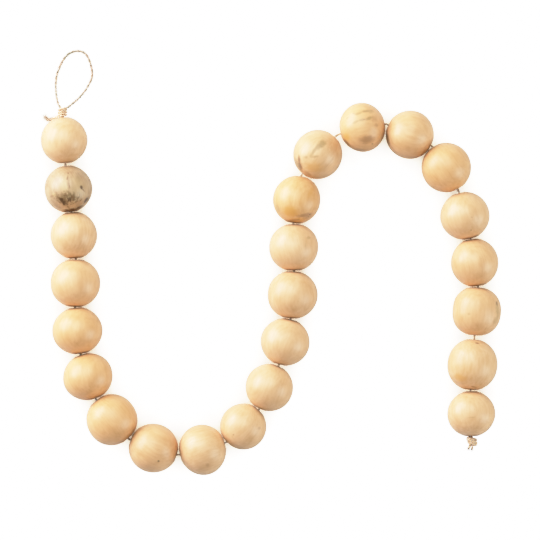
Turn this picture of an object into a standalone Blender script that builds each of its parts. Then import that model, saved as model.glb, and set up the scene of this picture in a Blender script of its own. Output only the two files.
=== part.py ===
"""A wood bead garland laid flat: 24 turned beads threaded on one twisted twine.

Metres, +Z up, and z = 0 is the surface that the garland lies on. Seen from
above, +X is to the right and +Y is towards the hanging loop. The tables below
are in millimetres, measured from the middle of the laid garland.
"""

import math

import bpy
import numpy as np
from mathutils import Matrix, Vector

MM = 0.001

# Twine: two plies laid together
TWINE_DIAMETER = 1.9 * MM
TWIST_LAY = 9.0 * MM
PLY_RELIEF = 0.18
STRAND_SIDES = 8
STRAND_STEP = 1.1 * MM
TUBE_RINGS = 2

# What all the beads share
BORE_DIAMETER = 6.0 * MM
END_FLAT_DIAMETER = 9.0 * MM
BEAD_SIDES = 20
OUTER_BANDS = 9

# How the slack twine lies in the bores: low on a straight run, and on a bend
# higher and towards the inside
SEAT_BELOW_AXIS = 1.3
KNOT_BELOW_AXIS = 0.7
PULL_TO_INSIDE = 0.2
CORNER_EASE = 3.0
LINING_ROUNDS = 8

# Fineness of the smooth lines: steps in a span, and millimetres between points
SPAN_STEPS = 48
LINE_STEP = 0.05
WRAP_POINT_ANGLE = 30.0

# One row for each bead in threading order, in millimetres. Fullness is the
# power of the outline's curve: 2 is a ball, more is squarer. Bare twine is the
# open stretch along the axis before the next bead.
BEAD_COLUMNS = ("across", "along", "fullness", "bare_twine", "wood")
BEAD_ROWS = (
    (38.9, 37.7, 2.0, 2.5, "blond"),
    (39.6, 37.9, 2.0, 0.5, "grey"),
    (38.4, 38.0, 2.0, 1.05, "blond"),
    (40.8, 38.9, 2.1, 0.85, "blond"),
    (41.8, 37.9, 2.0, 1.15, "blond"),
    (41.6, 37.6, 2.0, 1.5, "blond"),
    (42.0, 40.6, 2.1, 1.3, "blond"),
    (40.6, 39.8, 2.0, 1.75, "blond"),
    (42.0, 37.8, 2.0, 1.35, "blond"),
    (38.4, 36.8, 2.0, 1.25, "blond"),
    (39.6, 37.9, 2.0, 1.8, "blond"),
    (40.4, 38.1, 2.0, 0.95, "blond"),
    (41.2, 38.6, 2.1, 0.8, "blond"),
    (40.5, 38.1, 2.1, 1.0, "blond"),
    (39.4, 38.7, 2.0, 1.85, "golden"),
    (40.6, 39.8, 2.0, 4.75, "grey"),
    (40.5, 36.9, 2.0, 1.95, "blond"),
    (40.2, 38.6, 2.0, 1.2, "blond"),
    (41.2, 39.8, 2.0, 3.6, "blond"),
    (41.0, 38.4, 2.0, 0.8, "blond"),
    (39.5, 38.8, 2.0, 1.2, "blond"),
    (40.3, 39.4, 2.3, 3.6, "blond"),
    (41.6, 41.4, 2.1, 1.55, "golden"),
    (39.8, 36.9, 2.0, 0.0, "blond"),
)

# The line that the beads lie on, from the first bead to the last
GARLAND_LINE = (
    (-169.9, 107.1),
    (-166.5, 67.0),
    (-161.9, 28.8),
    (-158.9, -50.0),
    (-150.3, -87.9),
    (-130.6, -123.4),
    (-96.4, -146.9),
    (-55.7, -148.3),
    (-22.2, -129.2),
    (-0.7, -97.1),
    (12.5, -59.4),
    (18.5, -20.6),
    (19.6, 18.6),
    (22.0, 57.8),
    (39.2, 95.2),
    (76.0, 117.8),
    (115.0, 111.8),
    (145.2, 84.9),
    (160.7, 45.0),
    (168.8, 6.4),
    (170.4, -33.8),
    (166.9, -77.9),
    (166.0, -118.6),
)

# Wraps of the knot under the hanging loop, from the loop down to the first bead.
# Angles are in degrees about the knot's axis, 0 to the right and 90 up.
LOOP_KNOT = {
    "start": (-171.4, 132.6),
    "end": (-171.0, 127.75),
    "start_radius": 2.8,
    "end_radius": 2.8,
    "start_angle": 35.0,
    "end_angle": 900.0,
}
# The twine inside that knot, from where it joins the loop's left strand
LOOP_KNOT_CORE = ((-172.9, 134.0), (-172.0, 132.9), (-171.5, 131.6))
# The tail hangs down beside the first bead until its end lies on the surface
LOOP_TAIL = (
    (-174.6, 127.2, 15.2),
    (-175.7, 126.9, 11.8),
    (-177.3, 126.4, 8.2),
    (-179.4, 125.6, 4.7),
    (-181.8, 124.8, 2.1),
    (-184.2, 125.0, 1.1),
    (-186.0, 126.3, 1.0),
)

# Wraps of the knot at the lower end, from the last bead down
END_KNOT = {
    "start": (166.4, -138.4),
    "end": (167.2, -144.9),
    "start_radius": 3.1,
    "end_radius": 2.35,
    "start_angle": 270.0,
    "end_angle": -900.0,
}
# The twine inside that knot and its cut tip, and the wraps' own short tip
END_KNOT_CORE = ((166.5, -138.4), (167.05, -143.2), (167.25, -145.4), (166.7, -147.8))
END_TIP = ((164.5, -146.0, 20.3), (163.9, -147.1, 20.9))

# The hanging loop: up and round on the surface, and back over into the knot
LOOP_LINE = (
    (-173.2, 134.4, 18.5),
    (-174.6, 136.5, 17.9),
    (-175.5, 139.2, 16.2),
    (-176.2, 142.4, 13.2),
    (-176.7, 146.0, 9.2),
    (-177.1, 149.6, 5.4),
    (-177.3, 153.0, 2.6),
    (-177.2, 156.4, 1.2),
    (-176.8, 159.8, 1.0),
    (-176.1, 162.9, 1.0),
    (-174.6, 166.9, 1.0),
    (-172.8, 171.0, 1.0),
    (-170.5, 174.9, 1.0),
    (-167.0, 178.6, 1.0),
    (-162.9, 180.7, 1.0),
    (-159.2, 181.3, 1.0),
    (-155.5, 180.7, 1.0),
    (-152.6, 178.8, 1.0),
    (-150.5, 175.7, 1.0),
    (-148.9, 171.6, 1.0),
    (-147.6, 166.8, 1.0),
    (-147.1, 162.2, 1.0),
    (-147.9, 157.8, 1.2),
    (-149.9, 153.4, 2.6),
    (-152.3, 149.2, 5.2),
    (-155.0, 145.4, 8.6),
    (-157.7, 142.2, 11.9),
    (-160.6, 139.4, 14.0),
    (-163.4, 137.1, 15.8),
    (-165.9, 135.0, 17.2),
    (-167.8, 133.7, 18.3),
    (-168.85, 133.0, 19.45),
)

# Colour, roughness and metallic of each material
MATERIALS = {
    "blond": ((0.80, 0.60, 0.38), 0.50, 0.0),
    "grey": ((0.66, 0.52, 0.36), 0.55, 0.0),
    "golden": ((0.78, 0.52, 0.27), 0.50, 0.0),
    "twine": ((0.56, 0.47, 0.36), 0.90, 0.0),
}


def clear_scene():
    for obj in list(bpy.data.objects):
        bpy.data.objects.remove(obj, do_unlink=True)


def material_for(name, look):
    """One Principled material for one piece."""
    colour, roughness, metallic = MATERIALS[look]
    made = bpy.data.materials.new(name + "_surface")
    made.use_nodes = True
    shader = made.node_tree.nodes["Principled BSDF"]
    shader.inputs["Base Color"].default_value = (*colour, 1.0)
    shader.inputs["Roughness"].default_value = roughness
    shader.inputs["Metallic"].default_value = metallic
    made.diffuse_color = (*colour, 1.0)
    return made


def smooth_line(points):
    """A smooth curve through the points, each span cut into equal steps."""
    p = np.array(points, float)
    p = np.vstack([2 * p[0] - p[1], p, 2 * p[-1] - p[-2]])
    t = np.arange(SPAN_STEPS)[:, None] / SPAN_STEPS
    spans = [
        0.5
        * (
            2 * b
            + (c - a) * t
            + (2 * a - 5 * b + 4 * c - d) * t**2
            + (3 * b - a - 3 * c + d) * t**3
        )
        for a, b, c, d in zip(p[:-3], p[1:-2], p[2:-1], p[3:])
    ]
    return np.vstack([*spans, p[-2]])


def evenly(line, step):
    """The line again, its points an equal length of about step apart."""
    lengths = np.linalg.norm(np.diff(line, axis=0), axis=1)
    along = np.concatenate([[0.0], np.cumsum(lengths)])
    count = max(2, int(math.ceil(along[-1] / step)) + 1)
    at = np.linspace(0.0, along[-1], count)
    return np.stack([np.interp(at, along, column) for column in line.T], axis=1)


def unit(vector):
    return np.asarray(vector, float) / np.linalg.norm(vector)


def thread_beads():
    """Each bead with its centre and heading, set one after another on the line."""
    beads = [dict(zip(BEAD_COLUMNS, row)) for row in BEAD_ROWS]
    line = evenly(smooth_line(GARLAND_LINE), LINE_STEP)
    here = 0
    for number, bead in enumerate(beads):
        if number:
            last = beads[number - 1]
            apart = (last["along"] + bead["along"]) / 2 + last["bare_twine"]
            gone = np.linalg.norm(line[here:] - line[here], axis=1)
            far_enough = np.nonzero(gone >= apart)[0]
            here += int(far_enough[0]) if len(far_enough) else len(gone) - 1
        bead["centre"] = line[here]
        behind, ahead = line[max(here - 1, 0)], line[min(here + 1, len(line) - 1)]
        bead["heading"] = unit(ahead - behind)
        bead["height"] = resting_height(bead)
    line_up(beads)
    return beads


def line_up(beads):
    """Turns each bead until its bore lies along the twine between its two gaps."""
    for _ in range(LINING_ROUNDS):
        gaps = [corner_in_gap(a, b)[:2] for a, b in zip(beads, beads[1:])]
        ends = [beads[0]["centre"], *gaps, beads[-1]["centre"]]
        for bead, start, end in zip(beads, ends, ends[1:]):
            bead["heading"] = unit(end - start)


def straddle(parts):
    """How far a facet's corners stand out so that facets and corners average true."""
    return 2.0 / (1.0 + math.cos(math.pi / parts))


def bead_outline(bead):
    """Points (radius, along) of the bead's outer side, from end ring to end ring.

    The outline is (r / R)^n + (|t| / T)^n = 1, with n the fullness and T set so
    that the curve meets the flat end ring at half the bead's length.
    """
    power = bead["fullness"]
    radius = bead["across"] / 2
    half = bead["along"] / 2
    ring = END_FLAT_DIAMETER / MM / 2
    reach = half / (1 - (ring / radius) ** power) ** (1 / power)
    last = math.atan2(half / reach, ring / radius)
    angle = np.linspace(-last, last, OUTER_BANDS + 1)
    swell = (np.cos(angle) ** power + np.abs(np.sin(angle)) ** power) ** (-1 / power)
    proud = np.full(OUTER_BANDS + 1, straddle(math.pi / (last / OUTER_BANDS)))
    proud[[0, -1]] = 1.0
    return np.stack(
        [radius * swell * np.cos(angle) * proud, reach * swell * np.sin(angle)], axis=1
    )


def resting_height(bead):
    """Height of the axis when the middle facet lies flat on the surface."""
    middle = bead_outline(bead)[OUTER_BANDS // 2][0]
    return middle * straddle(BEAD_SIDES) * math.cos(math.pi / BEAD_SIDES)


def bead_object(name, bead):
    """A turned bead: the closed section (bore wall, end rings, side) spun round."""
    bore = BORE_DIAMETER / MM / 2
    outline = bead_outline(bead)
    outline[1:-1, 0] *= straddle(BEAD_SIDES)
    half = bead["along"] / 2
    section = np.vstack([outline, [bore, half], [bore, -half]]) * MM
    turn = 2 * math.pi * (np.arange(BEAD_SIDES) + 0.5) / BEAD_SIDES - math.pi / 2
    rows = len(section)
    points = np.stack(
        [
            np.outer(np.cos(turn), section[:, 0]),
            np.outer(np.sin(turn), section[:, 0]),
            np.tile(section[:, 1], (BEAD_SIDES, 1)),
        ],
        axis=2,
    ).reshape(-1, 3)
    faces = [
        (
            i * rows + j,
            (i + 1) % BEAD_SIDES * rows + j,
            (i + 1) % BEAD_SIDES * rows + (j + 1) % rows,
            i * rows + (j + 1) % rows,
        )
        for i in range(BEAD_SIDES)
        for j in range(rows)
    ]
    mesh = bpy.data.meshes.new(name)
    mesh.from_pydata(points.tolist(), [], faces)
    mesh.polygons.foreach_set("use_smooth", [True] * len(faces))
    obj = bpy.data.objects.new(name, mesh)
    bpy.context.collection.objects.link(obj)
    forward = Vector((bead["heading"][0], bead["heading"][1], 0.0))
    up = Vector((0.0, 0.0, 1.0))
    turned = Matrix((up.cross(forward), up, forward)).transposed()
    obj.rotation_euler = turned.to_euler()
    obj.location = (
        bead["centre"][0] * MM,
        bead["centre"][1] * MM,
        bead["height"] * MM,
    )
    mesh.materials.append(material_for(name, bead["wood"]))
    return obj


def mouth(bead, way):
    """The middle of a bead's bore mouth: way is -1 before the bead and 1 after it."""
    x, y = bead["centre"] + way * bead["heading"] * bead["along"] / 2
    return np.array([x, y, bead["height"]])


def corner_in_gap(bead, following):
    """The twine's corner in the gap after a bead: low, and on the bend's inside."""
    turn = np.append(following["heading"] - bead["heading"], 0.0)
    middle = (mouth(bead, 1) + mouth(following, -1)) / 2 + PULL_TO_INSIDE * turn
    low = SEAT_BELOW_AXIS * (1 - np.linalg.norm(turn))
    middle[2] = max(bead["height"], following["height"]) - low
    return middle


def eased(corners, reach):
    """The route with each inner corner cut short and replaced by three points."""
    route = [corners[0]]
    for before, corner, after in zip(corners, corners[1:], corners[2:]):
        back = corner + unit(before - corner) * reach
        on = corner + unit(after - corner) * reach
        route += [back, (back + 2 * corner + on) / 4, on]
    return np.array([*route, corners[-1]])


def twine_route(beads):
    """The twine from the loop's left strand, through every bore, to its cut tip."""
    top = mouth(beads[0], -1) - [0, 0, KNOT_BELOW_AXIS]
    foot = mouth(beads[-1], 1) - [0, 0, KNOT_BELOW_AXIS]
    gaps = [corner_in_gap(a, b) for a, b in zip(beads, beads[1:])]
    head = [[x, y, top[2]] for x, y in LOOP_KNOT_CORE]
    tip = [[x, y, foot[2]] for x, y in END_KNOT_CORE]
    return np.vstack([head, eased([top, *gaps, foot], CORNER_EASE), tip])


def tube_object(name, route):
    """A plain round cord along the route."""
    curve = bpy.data.curves.new(name, "CURVE")
    curve.dimensions = "3D"
    curve.bevel_depth = TWINE_DIAMETER / 2
    curve.bevel_resolution = TUBE_RINGS
    curve.use_fill_caps = True
    spline = curve.splines.new("POLY")
    spline.points.add(len(route) - 1)
    spline.points.foreach_set("co", np.c_[route * MM, np.ones(len(route))].ravel())
    spline.use_smooth = True
    obj = bpy.data.objects.new(name, curve)
    bpy.context.collection.objects.link(obj)
    curve.materials.append(material_for(name, "twine"))
    return obj


def strand_object(name, route):
    """Two-ply twine along the route, its twist raised in the section.

    The section's radius is r (1 + k cos 2(angle - 2 pi s / lay)): the two plies
    are its two swells, and they turn once in each lay.
    """
    line = evenly(route * MM, STRAND_STEP)
    tangents = np.gradient(line, axis=0)
    side = unit(np.cross(tangents[0], (0.0, 0.0, 1.0)))
    around = 2 * math.pi * np.arange(STRAND_SIDES) / STRAND_SIDES
    mean = TWINE_DIAMETER / 2 / (1 + PLY_RELIEF)
    step = np.linalg.norm(line[1] - line[0])
    rings = []
    for i, (point, tangent) in enumerate(zip(line, tangents)):
        tangent = unit(tangent)
        side = unit(side - tangent * (side @ tangent))
        other = np.cross(tangent, side)
        swell = np.cos(2 * (around - 2 * math.pi * i * step / TWIST_LAY))
        radius = mean * (1 + PLY_RELIEF * swell)[:, None]
        direction = np.outer(np.cos(around), side) + np.outer(np.sin(around), other)
        rings.append(point + radius * direction)
    points = np.vstack(rings)
    faces = [
        (
            i * STRAND_SIDES + j,
            i * STRAND_SIDES + (j + 1) % STRAND_SIDES,
            (i + 1) * STRAND_SIDES + (j + 1) % STRAND_SIDES,
            (i + 1) * STRAND_SIDES + j,
        )
        for i in range(len(rings) - 1)
        for j in range(STRAND_SIDES)
    ]
    last = len(points) - STRAND_SIDES
    faces.append(tuple(range(STRAND_SIDES))[::-1])
    faces.append(tuple(range(last, last + STRAND_SIDES)))
    mesh = bpy.data.meshes.new(name)
    mesh.from_pydata(points.tolist(), [], faces)
    smooth = [True] * (len(faces) - 2) + [False, False]
    mesh.polygons.foreach_set("use_smooth", smooth)
    obj = bpy.data.objects.new(name, mesh)
    bpy.context.collection.objects.link(obj)
    mesh.materials.append(material_for(name, "twine"))
    return obj


def wraps(knot, bead):
    """Points of twine wound in a helix round a knot's axis, beside its bead."""
    turned = knot["end_angle"] - knot["start_angle"]
    count = int(abs(turned) / WRAP_POINT_ANGLE) + 1
    share = np.linspace(0.0, 1.0, count)[:, None]
    angle = np.radians(knot["start_angle"] + turned * share)
    start, end = np.array(knot["start"]), np.array(knot["end"])
    axis = unit(end - start)
    right = np.array([abs(axis[1]), -axis[0] * np.sign(axis[1]), 0.0])
    up = np.array([0.0, 0.0, 1.0])
    radius = knot["start_radius"] * (1 - share) + knot["end_radius"] * share
    centre = start * (1 - share) + end * share
    height = np.full(count, bead["height"] - KNOT_BELOW_AXIS)
    around = radius * (np.cos(angle) * right + np.sin(angle) * up)
    return np.c_[centre, height] + around


def corners_of(obj):
    """All the points of an object as built, in world space."""
    evaluated = obj.evaluated_get(bpy.context.evaluated_depsgraph_get())
    mesh = evaluated.to_mesh()
    points = np.array([obj.matrix_world @ v.co for v in mesh.vertices])
    evaluated.to_mesh_clear()
    return points


def centre_on_origin(objects):
    """Moves all pieces so that the box without the free loop is centred."""
    bpy.context.view_layer.update()
    points = np.vstack(
        [corners_of(obj) for obj in objects if obj.name != "hanging_loop"]
    )
    middle = (points.min(axis=0) + points.max(axis=0)) / 2
    shift = Vector((-middle[0], -middle[1], 0.0))
    for obj in objects:
        obj.location += shift
    bpy.context.view_layer.update()


def main():
    clear_scene()
    beads = thread_beads()
    objects = [
        bead_object(f"bead_{number:02d}", bead)
        for number, bead in enumerate(beads, start=1)
    ]
    objects.append(tube_object("twine_through_beads", twine_route(beads)))
    loop_knot = smooth_line([*wraps(LOOP_KNOT, beads[0]), *LOOP_TAIL])
    objects.append(strand_object("loop_knot", loop_knot))
    end_knot = smooth_line([*wraps(END_KNOT, beads[-1]), *END_TIP])
    objects.append(strand_object("end_knot", end_knot))
    objects.append(strand_object("hanging_loop", smooth_line(LOOP_LINE)))
    centre_on_origin(objects)


main()
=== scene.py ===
# %% [markdown]
# # A wood bead garland, laid out flat
#
# Twenty-four beads of pale wood, each turned and bored from its own blank, are
# threaded on one length of two-ply twine. The twine is doubled into a hanging
# loop above the first bead and knotted against the last one.
#
# The construction's solids come in as a fixed frame that nothing here moves.
# Each is then covered by a finer surface of the same size, worked out with
# numpy as a function of two parameters. So the garland keeps its true
# dimensions while it gains its turned and twisted forms.

# %% Load the frame
import math

import bpy
import numpy as np
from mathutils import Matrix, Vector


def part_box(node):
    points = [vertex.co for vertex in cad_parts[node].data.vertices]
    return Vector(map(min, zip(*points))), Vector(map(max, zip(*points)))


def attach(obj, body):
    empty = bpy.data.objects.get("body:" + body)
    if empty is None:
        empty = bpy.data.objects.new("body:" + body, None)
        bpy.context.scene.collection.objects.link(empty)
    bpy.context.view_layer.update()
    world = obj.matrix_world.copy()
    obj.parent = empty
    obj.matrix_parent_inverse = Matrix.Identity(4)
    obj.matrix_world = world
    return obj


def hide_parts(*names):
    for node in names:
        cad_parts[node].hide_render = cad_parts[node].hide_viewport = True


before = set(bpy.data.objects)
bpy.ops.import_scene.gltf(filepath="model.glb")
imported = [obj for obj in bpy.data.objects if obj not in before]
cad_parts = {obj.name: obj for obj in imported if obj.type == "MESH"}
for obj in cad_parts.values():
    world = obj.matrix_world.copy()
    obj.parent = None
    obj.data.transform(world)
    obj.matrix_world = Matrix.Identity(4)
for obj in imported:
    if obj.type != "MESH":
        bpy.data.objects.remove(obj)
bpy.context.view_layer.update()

MM = 0.001

# %% [markdown]
# ## Where the garland lies
#
# The route tables below are in millimetres from the middle of the laid
# garland. The frame says where the first bead really is, so the difference
# between the two places carries every table into the frame.

# %% Find the laid garland's middle in the frame
FIRST_BEAD = np.array([-169.9, 107.1])


def centre_of(node):
    """The middle of a solid's box, halfway between its two corners."""
    low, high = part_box(node)
    return (np.array(low) + np.array(high)) / 2


garland_middle = centre_of("bead_01")[:2] - FIRST_BEAD * MM
print("middle of the laid garland", garland_middle.round(6))

# %% [markdown]
# ## The camera
#
# The garland lies on a table and is seen from straight above. A long lens far
# away keeps all the beads equally large, and its focal length follows from
# similar triangles: sensor to lens as picture to distance.

# %% Set the camera straight above
PICTURE_SIDE = 445.5 * MM
CAMERA_HEIGHT = 6.0
BEAD_AXIS_HEIGHT = 20 * MM

lens = bpy.data.cameras.new("camera_above")
lens.sensor_width = 36.0
lens.lens = lens.sensor_width * (CAMERA_HEIGHT - BEAD_AXIS_HEIGHT) / PICTURE_SIDE
camera = bpy.data.objects.new("camera_above", lens)
camera.location = (*garland_middle, CAMERA_HEIGHT)
bpy.context.scene.collection.objects.link(camera)
bpy.context.scene.camera = camera
print("focal length", round(lens.lens, 1), "mm")

# %% [markdown]
# ## Lines that a cord can follow
#
# A slack cord has no corners, so a smooth curve is drawn through a few given
# points. A Catmull-Rom curve passes through each of its points, which keeps
# the cord exactly where the points put it. The curve is then cut into equal
# steps, because a twist has to turn at an even rate along it.

# %% Draw smooth lines
SPAN_STEPS = 48


def smooth_line(points):
    """Catmull-Rom curve: from b to c it is half of
    2b + (c - a) t + (2a - 5b + 4c - d) t^2 + (3b - a - 3c + d) t^3."""
    p = np.array(points, float)
    p = np.vstack([2 * p[0] - p[1], p, 2 * p[-1] - p[-2]])
    a, b, c, d = (p[i : len(p) - 3 + i, None] for i in range(4))
    t = (np.arange(SPAN_STEPS) / SPAN_STEPS)[None, :, None]
    curve = 2 * b + (c - a) * t + (2 * a - 5 * b + 4 * c - d) * t**2
    curve = (curve + (3 * b - a - 3 * c + d) * t**3) / 2
    return np.vstack([curve.reshape(-1, p.shape[1]), p[-2]])


def distances(line):
    """How far along the line each of its points is."""
    return np.append(0.0, np.cumsum(np.linalg.norm(np.diff(line, axis=0), axis=1)))


def evenly(line, step):
    """The line again, its points an equal length of about step apart."""
    along = distances(line)
    at = np.linspace(0.0, along[-1], int(math.ceil(along[-1] / step)) + 1)
    return np.stack([np.interp(at, along, column) for column in line.T], axis=1)


def unit(vectors):
    """Each vector divided by its own length."""
    vectors = np.asarray(vectors, float)
    return vectors / np.linalg.norm(vectors, axis=-1, keepdims=True)


def in_frame(points):
    """Points in the laid garland's millimetres, carried into the frame's metres."""
    points = np.array(points, float) * MM
    points[:, :2] += garland_middle
    return points


# %% [markdown]
# ## Grids that close into skins
#
# Every surface here is a grid of points. Four neighbours on the grid make one
# face, and the last column joins the first, so a tube closes around its line.
# Grids of a tube end in a flat cap at both ends. A bead's grid closes both
# ways instead, like a ring, because its bore goes right through.

# %% Make a mesh from grids
def ring_faces(rows, columns, closed=False):
    """Faces between neighbouring rows, each row a ring: (i, j) (i, j+1) (i+1, j+1) (i+1, j)."""
    i, j = np.meshgrid(np.arange(rows if closed else rows - 1), np.arange(columns), indexing="ij")
    k, m = (i + 1) % rows, (j + 1) % columns
    corners = [i * columns + j, i * columns + m, k * columns + m, k * columns + j]
    return np.stack(corners, axis=-1).reshape(-1, 4)


def new_piece(name, points, faces, sharp_faces=()):
    """An object at the origin whose place is in its points."""
    mesh = bpy.data.meshes.new(name)
    faces = [*faces.tolist(), *sharp_faces]
    mesh.from_pydata(points.tolist(), [], faces)
    smooth = np.ones(len(faces), bool)
    smooth[len(faces) - len(sharp_faces) :] = False
    mesh.polygons.foreach_set("use_smooth", smooth)
    piece = bpy.data.objects.new(name, mesh)
    bpy.context.scene.collection.objects.link(piece)
    return piece


def write_attribute(piece, name, values):
    """Stores a number or a vector on each point, for the materials to read."""
    kind, field = ("FLOAT", "value") if values.ndim == 1 else ("FLOAT_VECTOR", "vector")
    attribute = piece.data.attributes.new(name, kind, "POINT")
    attribute.data.foreach_set(field, values.astype(np.float32).ravel())


# %% [markdown]
# ## The beads' sizes and places
#
# No two blanks are quite alike, so each bead has its own width across the
# bore, its own length along it, and its own fullness: 2 is a ball, and more is
# squarer. Each bead's middle comes from the frame. A bead on a thread turns
# until its bore lines up with the thread, so its heading runs from the gap
# before it to the gap after it. Those gaps depend on the headings in turn,
# and a few rounds settle them.

# %% List the beads
BEAD_COLUMNS = ("across", "along", "fullness", "wood")
BEAD_ROWS = (
    (38.9, 37.7, 2.0, "pale"),
    (39.6, 37.9, 2.0, "grey"),
    (38.4, 38.0, 2.0, "pale"),
    (40.8, 38.9, 2.1, "blond"),
    (41.8, 37.9, 2.0, "honey"),
    (41.6, 37.6, 2.0, "honey"),
    (42.0, 40.6, 2.1, "honey"),
    (40.6, 39.8, 2.0, "blond"),
    (42.0, 37.8, 2.0, "pale"),
    (38.4, 36.8, 2.0, "pale"),
    (39.6, 37.9, 2.0, "pale"),
    (40.4, 38.1, 2.0, "pale"),
    (41.2, 38.6, 2.1, "pale"),
    (40.5, 38.1, 2.1, "pale"),
    (39.4, 38.7, 2.0, "golden"),
    (40.6, 39.8, 2.0, "streaked"),
    (40.5, 36.9, 2.0, "honey"),
    (40.2, 38.6, 2.0, "blond"),
    (41.2, 39.8, 2.0, "honey"),
    (41.0, 38.4, 2.0, "pale"),
    (39.5, 38.8, 2.0, "blond"),
    (40.3, 39.4, 2.3, "blond"),
    (41.6, 41.4, 2.1, "golden_pale"),
    (39.8, 36.9, 2.0, "pale"),
)
PULL_TO_INSIDE = 0.2
SEAT_BELOW_AXIS = 1.3
LINING_ROUNDS = 8

beads = [dict(zip(BEAD_COLUMNS, row)) for row in BEAD_ROWS]
across, along = (np.array([bead[side] for bead in beads]) for side in ("across", "along"))
names = [f"bead_{number:02d}" for number in range(1, len(beads) + 1)]
middles = np.array([centre_of(name) for name in names]) / MM
middles[:, :2] -= garland_middle / MM


def mouths(headings, way):
    """The middles of the bore mouths: way is -1 before each bead and 1 after it."""
    places = middles.copy()
    places[:, :2] += way * headings * along[:, None] / 2
    return places


def gap_corners(headings):
    """Where the twine turns in each gap: low in a straight run, inwards on a bend."""
    turn = np.diff(headings, axis=0)
    corners = (mouths(headings, 1)[:-1] + mouths(headings, -1)[1:]) / 2
    corners[:, :2] += PULL_TO_INSIDE * turn
    low = SEAT_BELOW_AXIS * (1 - np.linalg.norm(turn, axis=1))
    corners[:, 2] = np.maximum(middles[:-1, 2], middles[1:, 2]) - low
    return corners


headings = unit(np.gradient(middles[:, :2], axis=0))
for _ in range(LINING_ROUNDS):
    ends = np.vstack([middles[0, :2], gap_corners(headings)[:, :2], middles[-1, :2]])
    headings = unit(np.diff(ends, axis=0))
print("beads", across.min(), "to", across.max(), "mm across")

# %% [markdown]
# ## Two-ply twine
#
# Twine is two yarns laid round each other. Each ply's own line is a helix
# about the twine's line, half a turn ahead of its partner, and its section is
# a circle wide enough to press into its neighbour. Soft ridges of fibre run
# round each ply at a slant, as on spun yarn. A strand can also start thin, so
# that its start hides in the knot that it comes out of.
#
# A tube needs two directions square to its line. The cross product with one
# fixed direction gives both for all points at once, as long as the line never
# runs along that direction, so each strand names a direction that it avoids.

# %% Lay two plies round a line
TWINE_DIAMETER = 1.9 * MM
TWIST_LAY = 9.0 * MM
PLY_RADIUS = 0.54 * MM
PLY_SWING = TWINE_DIAMETER / 2 - PLY_RADIUS
PLY_SIDES = 12
FIBRE_RIDGES = 5
FIBRE_SLANT = 4.0 * MM
FIBRE_RELIEF = 0.05
TUCK_LENGTH = 1.6 * MM


def across_line(line, avoided):
    """The line's direction at each point, and two directions square to it."""
    tangent = unit(np.gradient(line, axis=0))
    side = unit(np.cross(tangent, avoided))
    return tangent, side, np.cross(tangent, side)


def tube_grid(line, radius, avoided, sides):
    """Points line(s) + r(s, a) (cos a side(s) + sin a other(s)), as rows of rings."""
    _, side, other = across_line(line, avoided)
    a = 2 * np.pi * np.arange(sides) / sides
    out = np.cos(a)[None, :, None] * side[:, None] + np.sin(a)[None, :, None] * other[:, None]
    return line[:, None] + np.asarray(radius)[..., None] * out


def plies(route, avoided, fullness=1.0):
    """Both plies' tubes on helix lines half a turn apart, and each point's place in its yarn."""
    s = distances(route)[:, None]
    _, side, other = across_line(route, avoided)
    a = 2 * np.pi * np.arange(PLY_SIDES)[None, :] / PLY_SIDES
    tubes, yarns = [], []
    for ply in (0, 1):
        turn = 2 * np.pi * s / TWIST_LAY + np.pi * ply
        swing = fullness * PLY_SWING * (np.cos(turn) * side + np.sin(turn) * other)
        slant = FIBRE_RIDGES * a + 2 * np.pi * s / FIBRE_SLANT
        thick = 1 + 0.05 * np.sin(s / (2.3 * MM) + 2 * ply) + 0.03 * np.sin(s / (0.7 * MM) + ply)
        radius = fullness * PLY_RADIUS * thick * (1 + FIBRE_RELIEF * np.sin(slant))
        tubes.append(tube_grid(route + swing, radius, avoided, PLY_SIDES))
        yarns.append(np.stack(np.broadcast_arrays(np.cos(a) + 5.0 * ply, np.sin(a), s / MM), axis=-1))
    return np.array(tubes), np.array(yarns)


def tucked(route, fullness=1.0):
    """Half as full where the strand starts, and full from TUCK_LENGTH on, so its start can hide."""
    s = np.minimum(distances(route)[:, None] / TUCK_LENGTH, 1.0)
    return fullness * (1 - (1 - s) ** 2 / 2)


print("each ply swings", round(PLY_SWING / MM, 2), "mm about the twine's line")

# %% [markdown]
# ## Stray fibres
#
# Natural twine is hairy. Each stray fibre is a thin three-sided tube that
# leaves the twine at a slant and bends away, and one formula draws all of them
# as arrays: root + L (direction * t + bend * t^2 / 2). A cut end is the same
# fibres in a dense brush.

# %% Grow fibres
FIBRE_SIDES = 3
FIBRE_STEPS = 7
FIBRE_THINNING = 0.7
STRAY_RADIUS = 0.045 * MM
BRUSH_RADIUS = 0.06 * MM
BRUSH_WIDTH = 0.25 * MM
ROOT_DEPTH = 0.36
FIBRE_SLANT_FORWARDS = 1.4
FIBRE_CURL = 0.8
BRUSH_CURL = 1.3
SHORTEST_FIBRE = 0.4
rng = np.random.default_rng(24)


def fibres(roots, directions, bends, lengths, radius):
    """Tubes along root + L (d t + b t^2 / 2), thinning from the root to the tip."""
    t = np.linspace(0.0, 1.0, FIBRE_STEPS)[None, :, None]
    lines = roots[:, None] + lengths[:, None, None] * (directions[:, None] * t + bends[:, None] * t**2 / 2)
    tangent = unit(np.gradient(lines, axis=1))
    side = unit(np.cross(tangent, unit(np.cross(directions, bends))[:, None]))
    other = np.cross(tangent, side)
    a = 2 * np.pi * np.arange(FIBRE_SIDES) / FIBRE_SIDES
    thin = radius * (1 - FIBRE_THINNING * t[..., None])
    out = np.cos(a)[:, None] * side[:, :, None] + np.sin(a)[:, None] * other[:, :, None]
    tubes = lines[:, :, None] + thin * out
    yarns = np.zeros(tubes.shape)
    yarns[..., 2] = rng.uniform(0, 100, len(roots))[:, None, None]
    return tubes, yarns


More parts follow.
